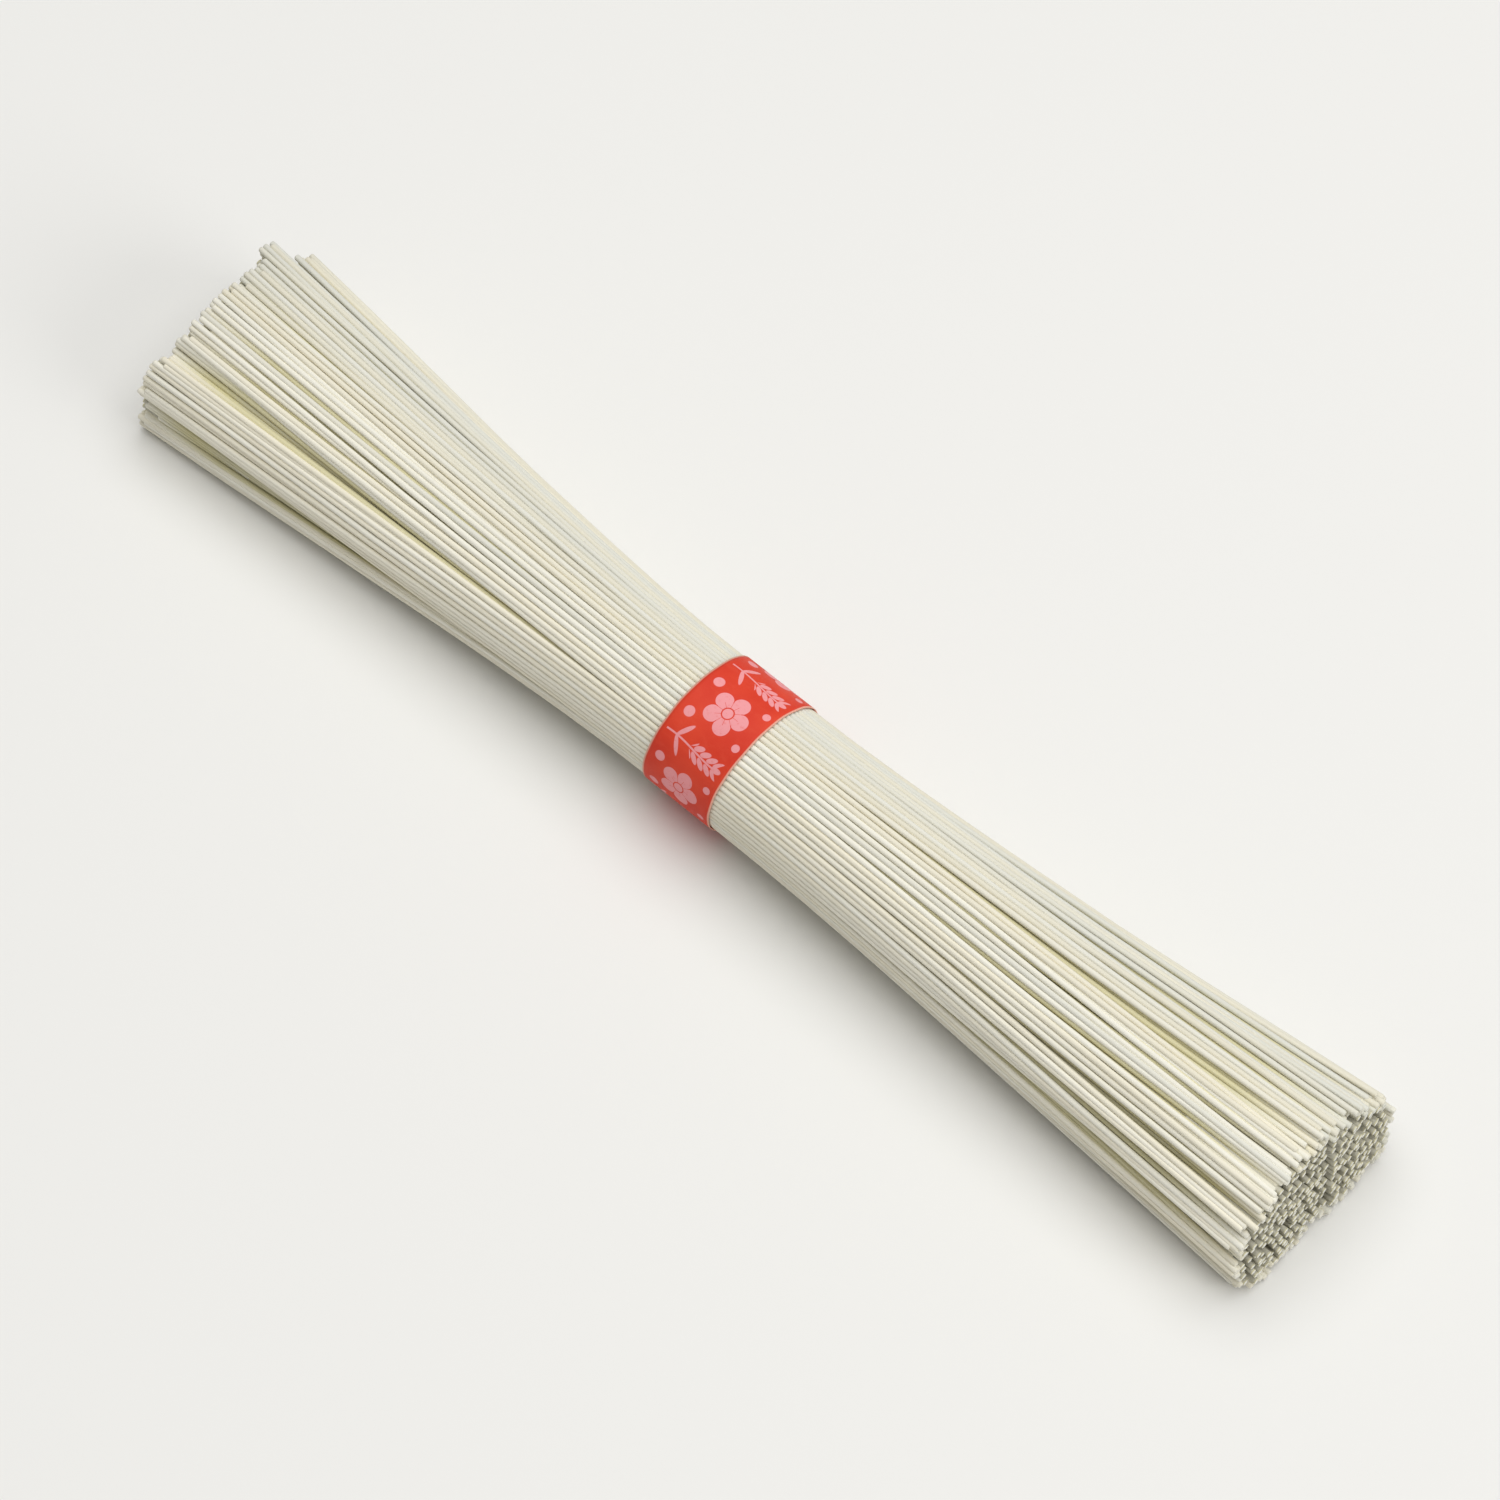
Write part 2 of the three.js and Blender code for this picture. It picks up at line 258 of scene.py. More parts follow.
def parted(side, places, share):
    """Places round a fan, drawn together into clumps so that the furrows between them open. Also
    how far each is from the middle of its clump, 0 there and 1 at its edges, and its tint, which
    on the clumps of the far side stands for painted shade."""
    starts, widths, deep, tints = np.array(FURROWS[side]).T
    if share < 1:
        widths = widths * deep * share
    widths = widths / girth(FANS[side], 0)
    low = np.mod(places - starts[0], 1) + starts[0]
    clump = np.searchsorted(starts, low, side="right") - 1
    after = (clump + 1) % len(starts)
    start = starts[clump]
    end = np.where(after == 0, starts[0] + 1, starts[after])
    along = (low - start) / (end - start)
    first = start + widths[clump] / 2
    last = end - widths[after] / 2
    return first + along * (last - first), np.abs(2 * along - 1), tints[clump]


def reach_of(side, tips):
    """How far from the band's middle noodles with these tips end, apart from chance."""
    reach = np.full(len(tips), HALF_LENGTH[side])
    steps = np.zeros(len(tips))
    for start, further in CLUMPS[side]:
        steps[tips[:, 0] >= start] = further
    return reach + steps - SLOPE[side] * tips[:, 1] / FANS[side]["height"]


def spread_out(tips, least):
    """Pushes noodles that overlap at their tips apart, a little at a time."""
    placed = tips.copy()
    itself = np.eye(len(placed)) * 9  # far enough for a noodle not to push itself
    for _ in range(SPREAD_ROUNDS):
        gap = placed[:, None, :] - placed[None, :, :]
        apart = np.linalg.norm(gap, axis=2) + itself
        push = np.clip(least - apart, 0, None) / apart / 2
        placed += SPREAD_STEP * (gap * push[..., None]).sum(axis=1)
    return placed


# ---- Meshes --------------------------------------------------------------------------------

CUT_RADIUS = 0.8  # of a cut end, inside its rounded rim
RIM = 0.0012  # how far from the cut a noodle has its full radius, as a share of its length


def straw(stations, sides):
    """One noodle of unit radius and unit length along X, with softly rounded cut ends and rings at
    the stations between them. Returns its points, its faces, and each face corner's place on a
    strip of unit size."""
    shape = bmesh.new()
    bmesh.ops.create_circle(shape, cap_ends=True, segments=sides, radius=CUT_RADIUS)
    turn = Matrix.Rotation(math.pi / 2, 4, "Y")
    bmesh.ops.transform(shape, matrix=turn, verts=shape.verts)
    steps = [(RIM, 1 / CUT_RADIUS), *((x, 1) for x in stations), (1 - RIM, 1), (1, CUT_RADIUS)]
    lead = list(shape.faces)
    reached = 0.0
    for x, scale in steps:
        grown = bmesh.ops.extrude_face_region(shape, geom=lead)
        moved = [v for v in grown["geom"] if isinstance(v, bmesh.types.BMVert)]
        if reached > 0:
            bmesh.ops.delete(shape, geom=lead, context="FACES_ONLY")
        lead = [f for f in grown["geom"] if isinstance(f, bmesh.types.BMFace)]
        bmesh.ops.translate(shape, vec=(x - reached, 0, 0), verts=moved)
        bmesh.ops.scale(shape, vec=(1, scale, scale), verts=moved)
        reached = x
    bmesh.ops.recalc_face_normals(shape, faces=shape.faces)
    shape.verts.index_update()
    points = np.array([v.co for v in shape.verts])
    faces = [[v.index for v in f.verts] for f in shape.faces]
    shape.free()
    # The side fills the strip but for its margins, and each cut end is a spot in a margin.
    strip = []
    for face in faces:
        corner = points[face]
        if len(face) > 4:
            end = 0.01 if corner[0, 0] < 0.5 else 0.99
            strip += [(end + 0.007 * y, 0.5 + 0.4 * z) for _, y, z in corner]
            continue
        around = np.arctan2(corner[:, 1], corner[:, 2]) / (2 * math.pi) + 0.5
        if np.ptp(around) > 0.5:
            around[around < 0.5] += 1
        strip += [(0.02 + 0.96 * x, 0.04 + 0.92 * a) for x, a in zip(corner[:, 0], around)]
    return points, faces, np.array(strip)


def mesh_of_many(name, template, placed, attributes):
    """Joins copies of one noodle, each with its own points, into one mesh with a strip each on
    the map OFBake. The attributes have a value for each copy, or for each point of each."""
    points, faces, strip = template
    copies = len(placed)
    sizes = np.array([len(f) for f in faces])
    corners = np.concatenate([np.array(f) for f in faces])
    mesh = bpy.data.meshes.new(name)
    mesh.vertices.add(copies * len(points))
    mesh.vertices.foreach_set("co", in_metres(placed).astype(np.float32).ravel())
    mesh.loops.add(copies * len(corners))
    shifted = corners[None, :] + (np.arange(copies) * len(points))[:, None]
    mesh.loops.foreach_set("vertex_index", shifted.astype(np.int32).ravel())
    mesh.polygons.add(copies * len(faces))
    starts = np.concatenate([[0], np.cumsum(sizes)[:-1]])
    all_starts = starts[None, :] + (np.arange(copies) * len(corners))[:, None]
    mesh.polygons.foreach_set("loop_start", all_starts.astype(np.int32).ravel())
    mesh.update(calc_edges=True)
    rows = np.tile(strip, (copies, 1, 1))
    rows[..., 1] = (rows[..., 1] + np.arange(copies)[:, None]) / copies
    bake_map = mesh.uv_layers.new(name="OFBake")
    bake_map.uv.foreach_set("vector", rows.astype(np.float32).ravel())
    mesh.polygons.foreach_set("use_smooth", np.tile(sizes <= 4, copies))
    for key, values in attributes.items():
        values = np.asarray(values, np.float32).reshape(copies, -1)
        spread = np.broadcast_to(values, (copies, len(points))).ravel()
        mesh.attributes.new(key, "FLOAT", "POINT").data.foreach_set("value", spread)
    mesh.validate()
    return add_piece(name, mesh)


def add_piece(name, mesh):
    """An object with this mesh, in the scene."""
    piece = bpy.data.objects.new(name, mesh)
    bpy.context.scene.collection.objects.link(piece)
    return piece


def mesh_of(shape, name):
    """A mesh with what is in this bmesh, which is freed."""
    mesh = bpy.data.meshes.new(name)
    shape.to_mesh(mesh)
    shape.free()
    return mesh


def rings_of(template):
    """The stations of a noodle's rings, and which of them each of its points is on."""
    return np.unique(np.round(template[0][:, 0], 6), return_inverse=True)


def run_along(template, centres, radii):
    """A noodle's points, laid along a line of centres: one for each ring of the template."""
    points = template[0]
    _, ring = rings_of(template)
    slopes = np.gradient(centres, axis=1)
    slopes /= np.linalg.norm(slopes, axis=2, keepdims=True)
    side = np.cross((0.0, 0.0, 1.0), slopes)
    side /= np.linalg.norm(side, axis=2, keepdims=True)
    rise = np.cross(slopes, side)
    at = centres[:, ring, :]
    out = side[:, ring, :] * points[None, :, 1:2] + rise[:, ring, :] * points[None, :, 2:3]
    return at + out * radii[:, None, None]


def finish_piece(piece, slot, *nodes):
    """Attaches a piece of the bundle to its body, and hides these parts of the solid model."""
    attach(piece, BODY)
    if nodes:
        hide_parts(*nodes)


# ---- Noodles -------------------------------------------------------------------------------


def lengthways(side, places, share, inset, rng, radius):
    """Where these noodles of one layer end in a fan, as (across, up), and the tint of each."""
    parts, edge, tint = parted(side, places, share)
    parts = parts + rng.normal(0, PLACE_SPREAD, len(parts))
    tips = round_place(FANS[side], inset, parts)
    heart = round_place(FANS[side], HEART_INSET, np.array([0.5]))[0]
    heart[1] = FANS[side]["height"] / 2
    inwards = heart - tips
    inwards /= np.linalg.norm(inwards, axis=1, keepdims=True)
    # They sink towards the edges of their clump and a little by chance, the outer layer most.
    sunk = SINK["edge"] * edge**3 + SINK["chance"] * rng.random(len(parts)) ** 2
    sunk = sunk * RELIEF[side] * (SINK["least"] + share)
    tips = tips + inwards * sunk[:, None]
    tips[:, 1] = np.maximum(tips[:, 1], radius)
    return tips, tint


def fit_in_box(placed):
    """Keeps points inside the box of the solid noodles, by a hair."""
    middle = np.array((MIDDLE.x, MIDDLE.y, 0))
    low = (np.array(NOODLES_LOW) - middle) / MM + BOX_HAIR
    high = (np.array(NOODLES_HIGH) - middle) / MM - BOX_HAIR
    return np.clip(placed, low, high)


def ends_of(side, tips, rng, ragged):
    """How far from the band's middle each of these noodles ends, inside the solid's own reach.
    That limit differs between neighbours, so that those that it shortens don't end in one plane."""
    far_end = NOODLES_LOW.x if side == "left" else NOODLES_HIGH.x
    varied = TIP_VARIES * np.mod(7.3 * tips[:, 0], 1)
    limit = abs(far_end - MIDDLE.x) / MM - TIP_MARGIN - varied
    return np.minimum(reach_of(side, tips) - ragged * rng.random(len(tips)) ** 2, limit)


def ordered(in_layer, phase):
    """Places round a layer: even for the noodles in it, and between them for those under it."""
    rank = np.cumsum(in_layer) - 1
    return (rank + np.where(in_layer, 0.5, 1.0) + phase) / in_layer.sum()


def layer_of_noodles(kit, layer, rng):
    """One layer of full-length noodles: where they pass the band and end, radii and tints."""
    whole = layer.count + layer.risers
    risen = (np.arange(layer.risers) + 0.6 * rng.random(layer.risers)) * whole / layer.risers
    rising = np.isin(np.arange(whole), risen.astype(int))
    radius = kit.noodle_width / 2
    radii = radius * (1 + rng.normal(0, WIDTH_SPREAD["outer"], whole))
    places = ordered(~rising, layer.phase)
    waist = np.where(
        rising[:, None],
        round_place(WAIST, layer.inset_waist + UNDER, places),
        round_place(WAIST, layer.inset_waist, places),
    )
    lines = {}
    tint = rng.normal(0, TINT_SPREAD, whole)
    for side in WAY:
        up = ~rising | (rng.random(whole) < RISING[side])
        at = ordered(up, layer.phase)
        tips, clump_tint_and_shade = lengthways(side, at, layer.share, layer.inset_tip, rng, radius)
        under, _ = lengthways(side, at, layer.share, layer.inset_tip + UNDER, rng, radius)
        tips = np.where(up[:, None], tips, under)
        reach = ends_of(side, tips, rng, kit.ragged)
        if layer.share < 1:
            reach = reach - SHORT * rising * rng.random(whole)
        lines[side] = (tips, reach)
        tint += 0.5 * clump_tint_and_shade
    return {"waist": waist, "radii": radii, "lines": lines, "tint": tint}


def fanned(waist, tips, open_share):
    """Noodles as (across, up) on their way from the waist to the tips."""
    flat = waist[:, None, :] * (1 - open_share[..., None])
    return flat + tips[:, None, :] * open_share[..., None]


def strung(side, x, flat, open_share):
    """Lines of centres from left to right, for noodles at (across, up) this far from the band's
    middle."""
    up = flat[..., 1] + held_up(open_share)
    line = np.stack([WAY[side] * x, flat[..., 0], up], axis=-1)
    return line[:, ::-1] if side == "left" else line


def centres_along(noodles, shares, rng, wander):
    """The lines of a layer's noodles from their left tips to their right ones, by the shares of
    the way from the band's edge to a tip."""
    count = len(noodles["radii"])
    halves = []
    for side in WAY:
        tips, reach = noodles["lines"][side]
        past = (reach[:, None] - BAND_EDGE) * shares[None, :]
        open_share = opened(side, past)
        wave = sum(
            rng.normal(0, size, (count, 1, 2))
            * np.sin(
                turns * past[..., None] / WAVE_RUN * math.pi
                + rng.uniform(0, 2 * math.pi, (count, 1, 2))
            )
            for turns, size in WAVES
        )
        flat = fanned(noodles["waist"], tips, open_share)
        flat = flat + wander * wave * np.clip(open_share[..., None] * WAVES_FULL, 0, 1)
        halves.append(strung(side, past + BAND_EDGE, flat, open_share))
    return np.concatenate(halves, axis=1)


def settle(centres, radii):
    """Noodles rest on the table and not in it."""
    low = radii[:, None] + TABLE_GAP
    centres[..., 2] = np.maximum(centres[..., 2], low)
    return centres


def join_noodles(name, kit, template, batches):
    """One piece from batches of noodles: lines of centres, radii, tones, tints, and the depth of
    each point of the template."""
    placed, tones, tints, depths = [], [], [], []
    for centres, radii, tone, tint, depth in batches:
        placed.append(fit_in_box(run_along(template, settle(centres, radii), radii)))
        tones.append(tone)
        tints.append(tint)
        depths.append(np.tile(depth, (len(radii), 1)))
    values = {
        "tone": np.concatenate(tones),
        "tint": np.concatenate(tints),
        "depth": np.concatenate(depths),
    }
    piece = mesh_of_many(name, template, np.concatenate(placed), values)
    piece.data.materials.append(noodle_finish(kit))
    return piece


class SOMEN_OT_noodles(Operator):
    """Adds the outer layers of noodles, at full length from tip to tip"""

    bl_idname = "somen.noodles"
    bl_label = "Noodles"

    def execute(self, context):
        kit = context.scene.somen_kit
        rng = np.random.default_rng(5)
        stations = (np.array([*(-s for s in reversed(SHARES)), *SHARES])[1:-1] + 1) / 2
        half = len(stations) // 2
        stations[half - 1] -= MIDDLE_GAP
        stations[half] += MIDDLE_GAP
        shares = np.array([*SHARES[:-1], 1 - 2 * RIM, 1])
        template = straw(stations, kit.sides)
        from_end = 0.5 - np.abs(template[0][:, 0] - 0.5)
        within = np.clip(from_end * NOODLE_LENGTH / END_FADE, 0.1, 1)
        batches = []
        for layer in LAYERS:
            noodles = layer_of_noodles(kit, layer, rng)
            centres = centres_along(noodles, shares, rng, kit.wander)
            tones = rng.random(len(centres))
            # Painted shade: the layers underneath are coloured darker and yellower by their depth.
            depth = np.where(from_end == 0, CUT, layer.depth * within)
            batches.append((centres, noodles["radii"], tones, noodles["tint"], depth))
        piece = join_noodles("noodles_outer", kit, template, batches)
        finish_piece(piece, "noodle_dough", "noodles")
        return {"FINISHED"}


def inner_tips(kit, side, rng):
    """Where the noodles inside a fan end, as (across, up): in rings that are shaken a little."""
    tips = []
    inset = INNER_INSET
    while inset < FANS[side]["height"] / 2:
        count = max(3, round(girth(FANS[side], inset) / kit.inner_spacing))
        places = (np.arange(count) + rng.random()) / count
        tips.append(round_place(FANS[side], inset, places))
        inset += RING_PITCH * kit.inner_spacing
    tips = np.concatenate(tips)
    return spread_out(tips + rng.normal(0, INNER_STRAY, tips.shape), INNER_LEAST)


class SOMEN_OT_inner_ends(Operator):
    """Adds the cut ends of the noodles inside the bundle, which show between the outer ones"""

    bl_idname = "somen.inner_ends"
    bl_label = "Inner Ends"

    def execute(self, context):
        kit = context.scene.somen_kit
        rng = np.random.default_rng(8)
        template = straw(INNER_STATIONS, kit.inner_sides)
        stations, _ = rings_of(template)
        middle = WAIST["height"] / 2
        batches = []
        for side in WAY:
            fan = FANS[side]
            tips = inner_tips(kit, side, rng)
            radii = kit.noodle_width / 2 * (1 + rng.normal(0, WIDTH_SPREAD["inner"], len(tips)))
            reach = ends_of(side, tips, rng, INNER_RAGGED * kit.ragged)
            root = HALF_LENGTH[side] - kit.core_short - ROOT
            x = root + (reach[:, None] - root) * stations[None, :]
            open_share = opened(side, x - BAND_EDGE)
            waist = (tips - (fan["sweep"], middle)) * (WAIST["width"] / fan["width"], 1)
            flat = fanned(waist + (0, middle), tips, open_share)
            centres = strung(side, x, flat, open_share)
            from_end = 1 - template[0][:, 0]
            if side == "left":
                from_end = 1 - from_end
            # Painted shade: behind the cut their sides turn dark, the shade between the ends.
            within = np.clip(from_end * (HALF_LENGTH[side] - root) / SHADE_FADE, 0, 2)
            tones = rng.random(len(tips))
            tints = rng.random(len(tips))
            batches.append((centres, radii, tones, tints, np.where(from_end == 0, CUT, within)))
        piece = join_noodles("noodles_inner", kit, template, batches)
        finish_piece(piece, "noodle_dough", "noodles")
        return {"FINISHED"}


class SOMEN_OT_core(Operator):
    """Adds the mass of noodles that shows only as dark gaps between the others"""

    bl_idname = "somen.core"
    bl_label = "Core"

    def execute(self, context):
        kit = context.scene.somen_kit
        places = (np.arange(CORE_SIDES) + 0.5) / CORE_SIDES
        ripple = CORE_RIPPLE * (np.arange(CORE_SIDES) % 2)
        stations = [
            (side, share * (HALF_LENGTH[side] - kit.core_short - BAND_EDGE))
            for side in WAY
            for share in SHARES
        ]
        stations.sort(key=lambda s: WAY[s[0]] * (s[1] + BAND_EDGE))
        shape = bmesh.new()
        bmesh.ops.create_circle(shape, cap_ends=True, segments=CORE_SIDES, radius=1)
        lead = list(shape.faces)
        rings = [list(shape.verts)]
        for _ in stations[1:]:
            grown = bmesh.ops.extrude_face_region(shape, geom=lead)
            if len(rings) > 1:
                bmesh.ops.delete(shape, geom=lead, context="FACES_ONLY")
            lead = [f for f in grown["geom"] if isinstance(f, bmesh.types.BMFace)]
            new = {v for v in grown["geom"] if isinstance(v, bmesh.types.BMVert)}
            rings.append([
                next(e.other_vert(v) for e in v.link_edges if e.other_vert(v) in new)
                for v in rings[-1]
            ])
        for ring, (side, past) in zip(rings, stations):
            open_share = float(opened(side, past))
            blend = {k: WAIST[k] + (FANS[side][k] - WAIST[k]) * open_share for k in WAIST}
            at = round_place(blend, CORE_INSET, places)
            inwards = at.mean(axis=0) - at
            at = at + inwards * (ripple / np.linalg.norm(inwards, axis=1))[:, None]
            x = np.full(CORE_SIDES, WAY[side] * (past + BAND_EDGE))
            where = in_metres(np.stack([x, at[:, 0], at[:, 1] + held_up(open_share)], axis=-1))
            for v, place in zip(ring, where):
                v.co = place
        bmesh.ops.recalc_face_normals(shape, faces=shape.faces)
        core = add_piece("noodle_core", mesh_of(shape, "noodle_core"))
        core.data.materials.append(core_finish(kit))
        finish_piece(core, "noodle_dough", "noodles")
        return {"FINISHED"}


# ---- Band ----------------------------------------------------------------------------------


class SOMEN_OT_band(Operator):
    """Adds the paper band: one strip rolled round the noodles, with its end glued over its start"""

    bl_idname = "somen.band"
    bl_label = "Paper Band"

    def execute(self, context):
        kit = context.scene.somen_kit
        radius = BAND_RADIUS - PAPER_CLEAR - kit.paper
        lap_from, lap_to = PAPER_LAP
        turns = 1 + lap_to - lap_from
        shape = bmesh.new()
        bmesh.ops.create_grid(shape, x_segments=260, y_segments=16, size=0.5, calc_uvs=False)
        sheet = shape.loops.layers.uv.new("Paper")
        for face in shape.faces:
            for loop in face.loops:
                loop[sheet].uv = (
                    (loop.vert.co.x + 0.5) * turns * 2 * math.pi * radius,
                    loop.vert.co.y * BAND_LENGTH,
                )
        for v in shape.verts:
            along, width = v.co.x + 0.5, v.co.y
            place = lap_from + along * turns
            over = min(max((along * turns - 1) / LAP_RISE + 1, 0), 1)
            # Hand-rolled paper is a little out of round, and its edges aren't quite straight.
            wobble = 0.012 * math.sin(place * 39) + 0.008 * math.sin(place * 71 + 2)
            edge = 0.03 * math.sin(place * 31) + 0.02 * math.sin(place * 83 + 1)
            r = radius + over * (kit.paper + PAPER_GLUE) + wobble * (1 - over)
            angle = place * 2 * math.pi
            y, z = -r * math.sin(angle), r * math.cos(angle)
            x = width * (BAND_LENGTH - 0.1) + edge * (1 if width > 0 else -0.8) * abs(width) * 2
            x += BAND_SKEW * y
            v.co = Vector((x + MIDDLE.x / MM, y + MIDDLE.y / MM, z + BAND_UP)) * MM
        bmesh.ops.recalc_face_normals(shape, faces=shape.faces)
        mesh = mesh_of(shape, "band")
        outwards = sum(p.normal.z for p in mesh.polygons if p.center.z > BAND_UP * MM)
        if outwards < 0:
            mesh.flip_normals()
        for polygon in mesh.polygons:
            polygon.use_smooth = True
        band = add_piece("band", mesh)
        thick = band.modifiers.new("Thickness", "SOLIDIFY")
        thick.thickness = kit.paper * MM
        thick.offset = 1
        band.data.materials.append(paper_finish(kit))
        finish_piece(band, "band_paper", "paper_band")
        return {"FINISHED"}


# ---- Finishes ------------------------------------------------------------------------------


class Field:
    """A value that varies over a surface. An expression on fields adds the Math nodes it needs."""

    def __init__(self, finish, socket):
        self.finish = finish
        self.socket = socket

    def __add__(self, other):
        return self.finish.maths("ADD", self, other)

    def __sub__(self, other):
        return self.finish.maths("SUBTRACT", self, other)

    def __rsub__(self, other):
        return self.finish.maths("SUBTRACT", other, self)

    def __mul__(self, other):
        return self.finish.maths("MULTIPLY", self, other)

    def __truediv__(self, other):
        return self.finish.maths("DIVIDE", self, other)

    def __pow__(self, other):
        return self.finish.maths("POWER", self, other)

    def __lt__(self, other):
        return self.finish.maths("LESS_THAN", self, other)

    def __gt__(self, other):
        return self.finish.maths("GREATER_THAN", self, other)

    def __neg__(self):
        return self * -1

    def __abs__(self):
        return self.finish.maths("ABSOLUTE", self)

    __radd__ = __add__
    __rmul__ = __mul__


class Finish:
    """A material that is built node by node."""

    def __init__(self, name):
        self.material = bpy.data.materials.new(name)
        self.material.use_nodes = True
        self.tree = self.material.node_tree
        self.tree.nodes.clear()

    def node(self, kind, sockets, out=0, **settings):
        """Adds a node: its settings first, then the values or links of its sockets."""
        made = self.tree.nodes.new(kind)
        for key, value in settings.items():
            setattr(made, key, value)
        for key, value in sockets.items():
            if isinstance(value, Field):
                self.tree.links.new(value.socket, made.inputs[key])
            else:
                made.inputs[key].default_value = value
        return Field(self, made.outputs[out])

    def maths(self, operation, *values):
        return self.node("ShaderNodeMath", dict(enumerate(values)), operation=operation)

    def split(self, vector):
        """The X and the Y of a vector."""
        parts = self.node("ShaderNodeSeparateXYZ", {0: vector}).socket.node
        return Field(self, parts.outputs[0]), Field(self, parts.outputs[1])

    def mix(self, share, low, high):
        """A colour between two colours."""
        low, high = [v if isinstance(v, Field) else (*v, 1) for v in (low, high)]
        sockets = {0: share, 6: low, 7: high}
        return self.node("ShaderNodeMix", sockets, out=2, data_type="RGBA", clamp_factor=True)

    def attribute(self, name):
        return self.node(
            "ShaderNodeAttribute", {}, out=2, attribute_type="GEOMETRY", attribute_name=name
        )

    def place(self):
        """The place on the object, in metres."""
        return self.node("ShaderNodeTexCoord", {}, out="Object")

    def noise(self, where, scale, detail, rough):
        sockets = {"Vector": where, "Scale": scale, "Detail": detail, "Roughness": rough}
        return self.node("ShaderNodeTexNoise", sockets)

    def mapped(self, where, scale):
        return self.node("ShaderNodeMapping", {"Vector": where, "Scale": scale})

    def smooth(self, value, low, high):
        """0 below low, 1 above high, and smooth between."""
        sockets = {0: value, 1: low, 2: high, 3: 0.0, 4: 1.0}
        return self.node("ShaderNodeMapRange", sockets, interpolation_type="SMOOTHSTEP")

    def done(self, colour, rough, bump=None, **constants):
        """The material, with a bump as (height, strength, distance in metres) if it has one."""
        sockets = {"Base Color": colour, "Roughness": rough, **constants}
        if bump is not None:
            height, strength, distance = bump
            sockets["Normal"] = self.node(
                "ShaderNodeBump", {"Strength": strength, "Distance": distance, "Height": height}
            )
        shader = self.node("ShaderNodeBsdfPrincipled", sockets)
        end = self.tree.nodes.new("ShaderNodeOutputMaterial")
        self.tree.links.new(shader.socket, end.inputs["Surface"])
        return self.material


def noodle_finish(kit):
    """Dried wheat dough: pale cream with a fine streaky grain, and painted shade that makes it
    yellower and darker towards the inside of the bundle.
    """
    known = bpy.data.materials.get("dried_dough")
    if known:
        return known
    f = Finish("dried_dough")
    spot = f.place()
    tone = f.attribute("tone")
    tint = f.attribute("tint")
    depth = f.attribute("depth")
    streak = f.noise(f.mapped(spot, (60, 900, 900)), 1.0, 4.0, 0.6)
    cloud = f.noise(f.mapped(spot, (25, 120, 120)), 1.0, 2.0, 0.5)
    flour = f.noise(spot, 2600.0, 2.0, 0.6)
    warm = f.smooth(tone + (cloud - 0.5) * 0.8, 0.25, 1.05)
    # Low tints give cool, greyer dough: partly noodles that differ at random, partly painted shade
    # on the clumps of the far side.
    colour = f.mix(f.smooth(tint, 0.1, 0.8), kit.dough_cool_and_far_shade, kit.dough_pale)
    colour = f.mix(warm * 0.6, colour, kit.dough_warm)
    colour = f.mix(f.smooth(streak, 0.45, 0.75) * 0.3, colour, kit.dough_grain)
    # Painted shade: deeper noodles turn yellower, then darker, in the furrows and between the ends.
    colour = f.mix(f.smooth(depth, 0.0, 1.0), colour, kit.dough_deep_shade)
    colour = f.mix(f.smooth(depth, 1.0, 2.0), colour, kit.dough_shade)
    colour = f.mix(f.smooth(flour, 0.62, 0.8) * 0.3, colour, kit.dough_flour)
    colour = f.mix(f.smooth(-depth, 0.1, 1.0), colour, kit.dough_flour)
    bump = (streak * 0.7 + flour * 0.3, 0.3, 0.00006)
    return f.done(colour, 0.58 + streak * 0.2, bump, **{"Specular IOR Level": 0.25})


def core_finish(kit):
    """The inner noodles, coloured as painted shade, since they are seen only between the outer
    ones.
    """
    f = Finish("dough_in_shade")
    streak = f.noise(f.mapped(f.place(), (30, 1100, 1100)), 1.0, 3.0, 0.6)
    # Painted shade: the core takes the colour of the shade between the noodles.
    colour = f.mix(0.4 + f.smooth(streak, 0.35, 0.65) * 0.6, kit.dough_shade, kit.dough_deep_shade)
    return f.done(colour, 0.7 + streak * 0.1, (streak, 0.4, 0.0001))


